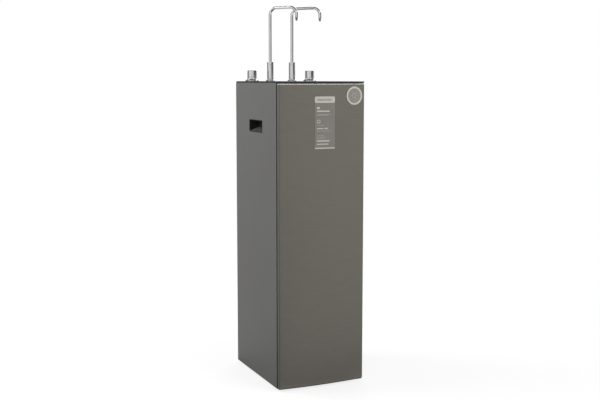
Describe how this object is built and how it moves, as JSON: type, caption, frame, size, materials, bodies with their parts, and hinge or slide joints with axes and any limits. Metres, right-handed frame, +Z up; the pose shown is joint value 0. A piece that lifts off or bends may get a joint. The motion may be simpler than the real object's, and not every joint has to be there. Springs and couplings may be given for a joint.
{
  "type": "reverse osmosis water purifier",
  "caption": "Floor-standing reverse osmosis water purifier: slim grey cabinet with a bowed hinged door, chrome swivel spouts and valve knobs on top, and filters, pump and tanks inside.",
  "frame": {"origin": "on the floor under the middle of the outline box, at the feet's underside", "axes": "+Z up, the door faces -Y, +X to the right of someone facing the door"},
  "size_m": [0.3, 0.3766, 1.231],
  "materials": {
    "grey_paint": "satin powder coat",
    "black_gloss": "polished moulding",
    "black_plastic": "fine moulded grain",
    "rubber": "matt",
    "chrome": "polished plating",
    "bright_trim": "satin anodised",
    "steel": "zinc plated",
    "white_plastic": "moulded",
    "tank_paint": "gloss enamel",
    "tube_plastic": "extruded",
    "blue_plastic": "moulded",
    "brass": "turned",
    "foam": "foamed",
    "label_film": "printed film, left bare"
  },
  "bodies": {
    "cabinet": {"base_plate": "black_plastic", "feet": "rubber", "left_side_panel": "grey_paint", "right_side_panel": "grey_paint", "back_panel": "grey_paint", "back_panel_screws": "steel", "top_plate": "black_gloss", "corner_posts": "steel", "top_rails": "steel", "filter_mounting_plate": "white_plastic", "tank_shelf": "steel", "left_handle_pocket": "black_plastic", "right_handle_pocket": "black_plastic", "catch_magnet": "black_plastic", "hinge_brackets": "steel", "hinge_pins": "steel", "tap_bodies": "chrome", "tap_lock_nuts": "brass", "knob_skirts": "chrome", "valve_bodies": "white_plastic", "tap_tubes": "tube_plastic", "pre_filter_head": "white_plastic", "sediment_cartridge": "white_plastic", "carbon_cartridge": "white_plastic", "polishing_cartridge": "white_plastic", "post_filter_head": "white_plastic", "post_filter_cartridges": "white_plastic", "membrane_housing": "white_plastic", "membrane_clips": "blue_plastic", "pump_head": "black_plastic", "pump_motor": "steel", "power_supply": "black_plastic", "storage_tank": "tank_paint", "tank_stand": "black_plastic", "tank_valve": "blue_plastic", "hot_tank": "steel", "hot_tank_jacket": "foam", "control_box": "white_plastic", "solenoid_valve": "white_plastic", "rear_fittings": "black_plastic", "cold_tubes": "tube_plastic", "hot_tubes": "tube_plastic", "heater_switch": "black_plastic"},
    "door": {"door_core": "black_plastic", "door_skin": "grey_paint", "door_top_trim": "bright_trim", "label_plate": "label_film", "round_badge": "label_film", "catch_strike": "steel", "hinge_bushes": "white_plastic"},
    "left_spout_arm": {"left_spout": "chrome", "left_spout_tip": "black_plastic"},
    "right_spout_arm": {"right_spout": "chrome", "right_spout_tip": "black_plastic"},
    "left_knob_stem": {"left_knob": "chrome", "left_spindle": "brass"},
    "right_knob_stem": {"right_knob": "chrome", "right_spindle": "brass"},
    "tank_lever": {"tank_valve_lever": "blue_plastic"},
    "rocker": {"heater_rocker": "black_gloss"}
  },
  "joints": [
    {"name": "door_hinge", "type": "hinge", "parent": "cabinet", "child": "door", "pos_m": [0.1425, -0.1707, 0.49], "axis": [0, 0, 1], "range_deg": [0, 110]},
    {"name": "left_spout_swivel", "type": "hinge", "parent": "cabinet", "child": "left_spout_arm", "pos_m": [-0.0405, 0.1443, 1.03], "axis": [0, 0, 1], "range_deg": [-124, 4]},
    {"name": "right_spout_swivel", "type": "hinge", "parent": "cabinet", "child": "right_spout_arm", "pos_m": [0.0405, 0.1443, 1.03], "axis": [0, 0, 1], "range_deg": [-40, 50]},
    {"name": "left_knob_turn", "type": "hinge", "parent": "cabinet", "child": "left_knob_stem", "pos_m": [-0.1075, 0.1443, 1], "axis": [0, 0, 1], "range_deg": [0, 90]},
    {"name": "right_knob_turn", "type": "hinge", "parent": "cabinet", "child": "right_knob_stem", "pos_m": [0.1075, 0.1443, 1], "axis": [0, 0, 1], "range_deg": [0, 90]},
    {"name": "tank_lever_turn", "type": "hinge", "parent": "cabinet", "child": "tank_lever", "pos_m": [0, 0.0533, 0.3786], "axis": [0, 0, 1], "range_deg": [0, 90]},
    {"name": "heater_rocker_tilt", "type": "hinge", "parent": "cabinet", "child": "rocker", "pos_m": [0.1, 0.1683, 0.218], "axis": [1, 0, 0], "range_deg": [0, 16]}
  ]
}
